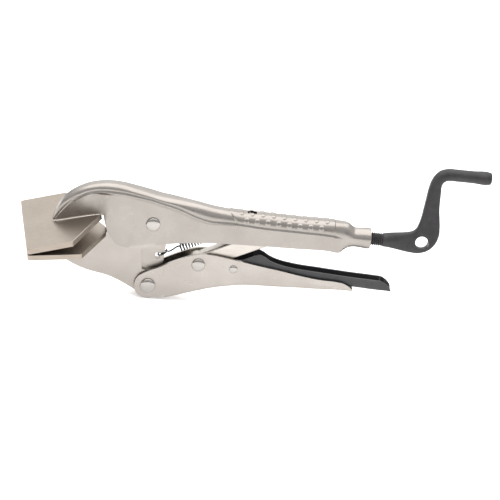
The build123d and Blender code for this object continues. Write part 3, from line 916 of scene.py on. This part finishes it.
def make_crank():
    """The forged crank: rings along its line, a hole at the elbow, and a lean about the screw."""
    mids = [((row[0][0] + row[1][0]) / 2, (row[0][1] + row[1][1]) / 2) for row in CRANK_ROWS]
    places = chord_places(mids)
    sections = np.array([[*row[0], *row[1], row[2], row[3]] for row in CRANK_ROWS])
    columns = key_columns(places, 6)
    vertices = []
    for row in Rail(places, sections).at(columns):
        outer, inner, thick, power = row[0:2], row[2:4], row[4], row[5]
        centre, arm = (outer + inner) / 2, (inner - outer) / 2
        for a in ring_angles(CRANK_SIDES):
            x, z = centre + arm * rounded_power(math.cos(a), power)
            vertices.append((x, thick * rounded_power(math.sin(a), power), z))
    faces = tube_faces(CRANK_SIDES, len(columns))
    crank = add_object("crank_forging", vertices, faces, CRANK_COAT, "crank", 45)
    cutter = bore_cutter(HOLE_CENTRE, HOLE_R)
    apply_modifier(crank, "BOOLEAN", operation="DIFFERENCE", object=cutter, solver="EXACT")
    bpy.data.objects.remove(cutter)
    bevel(crank, 0.45, 55, 3)
    screw_line = Vector((0, 0, SCREW_Z)) * MM
    lean = Matrix.Rotation(math.radians(-CRANK_LEAN), 4, "X")
    crank.data.transform(Matrix.Translation(screw_line) @ lean @ Matrix.Translation(-screw_line))
    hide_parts("crank_screw")


def thread_radius(x, turn):
    """The radius of the right-hand thread at a place along it and a share of a turn round it."""
    start, stop = THREAD_X
    phase = (x / THREAD_PITCH - turn) % 1.0
    flank = min(max(abs(phase - 0.5) * 2, FLANK[0]), FLANK[1])
    share = (flank - FLANK[0]) / (FLANK[1] - FLANK[0])
    ridge = THREAD_ROOT + (THREAD_R - THREAD_ROOT) * (1 - share)
    runout = smoothstep(x, stop - 2.0, stop - 0.6) + 1 - smoothstep(x, start, start + 1.5)
    return ridge + (RUNOUT_R - ridge) * min(1.0, float(runout))


def make_thread():
    """The right-hand M10 x 1.5 thread."""
    start, stop = THREAD_X
    steps = int((stop - start) / THREAD_PITCH * THREAD_STEPS)
    vertices = []
    for i in range(steps + 1):
        x = start + (stop - start) * i / steps
        for k, a in enumerate(ring_angles(THREAD_SIDES)):
            r = thread_radius(x, k / THREAD_SIDES)
            vertices.append((x, r * math.cos(a), SCREW_Z + r * math.sin(a)))
    faces = tube_faces(THREAD_SIDES, steps + 1)
    thread = add_object("screw_thread", vertices, faces, CRANK_COAT, "crank", 30)


# ---- tension spring ----
SPRING_FROM = Vector((97.5, 0.0, -8.6))
SPRING_TO = Vector((157.3, 0.0, 22.9))
WIRE_R = 0.58
COIL_R = 3.0
COIL_START = 16.5
COIL_END = 54.5
COIL_PITCH = 2.1
HOOK_R = 3.3
# points on the way, as (along the spring, sideways, up)
HOOK_TAIL = [(7.4, -1.0, -2.4), (6.9, -1.3, -1.1)]
HOOK_TO_COIL = [(8.2, 0.5, 0.9), (11.4, 0.2, 0.3), (14.7, 0.3, -0.5), (15.8, 1.6, 0.1)]


def spring_points(span):
    """The wire's line: front hook, coil, straight leg and rear hook."""
    points = list(HOOK_TAIL)
    for a in np.radians(np.linspace(-150, 150, 15)):
        points.append((HOOK_R - HOOK_R * math.cos(a), 3.0 * math.sin(a), 0.25 * math.sin(a / 2)))
    points += HOOK_TO_COIL
    turns = (COIL_END - COIL_START) / COIL_PITCH
    for share in np.linspace(0, 1, int(turns * 20) + 1):
        a = math.radians(20) + 2 * math.pi * turns * share
        s = COIL_START + (COIL_END - COIL_START) * share
        points.append((s, COIL_R * math.cos(a), COIL_R * math.sin(a)))
    points += [(COIL_END + 1.2, 0.8, 0.6), (COIL_END + 3.4, 0.1, 0.1), (span - 1.5, 0, 0)]
    for a in np.radians(range(0, 241, 30)):
        points.append((span + 1.9 * math.sin(a) - 0.2, 0, 1.5 * (1 - math.cos(a))))
    return points


def make_spring():
    """The wire spring, swept along its line from the front hook over the coil to the rear hook."""
    along = SPRING_TO - SPRING_FROM
    span = along.length
    along.normalize()
    side = Vector((0, 1, 0))
    lift = side.cross(along)
    path = [tuple(SPRING_FROM + along * s + side * y + lift * up) for s, y, up in spring_points(span)]
    smooth = smooth_line(path, len(path) * 2)
    spring = sweep("spring_wire", smooth, WIRE_R, SPRING_COAT, "body", sides=8)
    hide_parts("tension_spring")
    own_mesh(spring)


# ---- rivets ----
# each rivet: its body, pin radius and head height
RIVETS = {
    "jaw_pivot_rivet": ("body", 3.6, 2.2),
    "handle_pivot_rivet": ("handle", 3.8, 2.3),
    "link_pivot_rivet": ("handle", 3.2, 2.0),
    "release_pivot_rivet": ("handle", 1.9, 1.3),
}
RIVET_SIDES = 64
DOME_RINGS = 16
RIM_SHARE = 0.22


def make_rivet(node, body, pin_r, height):
    """A pin with two domed heads, each with a short upright rim and a slightly flattened crown."""
    low, high = (np.array(corner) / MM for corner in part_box(node))
    middle = (low + high) / 2
    head_r, top = (high[0] - low[0]) / 2, (high[1] - low[1]) / 2
    rim = top - height * (1 - RIM_SHARE)
    dome = []
    for a in np.linspace(0, math.pi / 2, DOME_RINGS):
        dome.append((head_r * math.sin(a) ** 0.9, rim + (top - rim) * math.cos(a) ** 0.8))
    profile = dome + [(head_r, top - height), (pin_r, top - height)]
    profile += [(r, -y) for r, y in reversed(profile)]
    vertices = []
    for r, y in profile:
        for a in ring_angles(RIVET_SIDES):
            vertices.append((middle[0] + r * math.cos(a), middle[1] + y, middle[2] + r * math.sin(a)))
    faces = grid_faces(RIVET_SIDES, len(profile), close=True)
    head = add_object(node.replace("_rivet", "_rivet_heads"), vertices, faces, RIVET, body, 50)
    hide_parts(node)


# ---- lower jaw ----
def make_lower_jaw():
    """The forged lower jaw with its long edges broken."""
    source = frame["nodes"]["lower_jaw"]
    mesh = bmesh.new()
    mesh.from_mesh(source.data)
    mesh.transform(source.matrix_world)
    bmesh.ops.remove_doubles(mesh, verts=mesh.verts, dist=0.00001)
    bmesh.ops.dissolve_limit(mesh, angle_limit=math.radians(1.0), verts=mesh.verts, edges=mesh.edges)
    vertices = [tuple(c / MM for c in v.co) for v in mesh.verts]
    faces = [tuple(v.index for v in face.verts) for face in mesh.faces]
    mesh.free()
    jaw = add_object("jaw_forging", vertices, faces, NICKEL_JAW, "jaw", 40)
    round_edges(jaw, 0.4, 40, 3)
    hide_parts("lower_jaw")


# ---- carried-over CAD nodes ----
def finish_cad_nodes():
    """Procedural finishes for the nodes whose CAD shape is already the real one."""
    looks = {
        "upper_jaw_plate": PLATE_FINISH,
        "lower_jaw_plate": PLATE_FINISH,
        "toggle_link": LINK_FINISH,
        "thrust_cap": CRANK_COAT,
    }
    for name, material in looks.items():
        node = frame["nodes"][name]
        if not node.material_slots:
            node.data.materials.append(material)
        for slot in node.material_slots:
            slot.material = material


make_camera()
make_lights()
make_world()
make_floor()
finish_cad_nodes()
for node, (body, pin_r, height) in RIVETS.items():
    make_rivet(node, body, pin_r, height)
make_lower_jaw()
make_main_body()
make_spring_tab()
make_welds()
make_lower_handle()
make_release_lever()
make_crank()
make_thread()
make_spring()
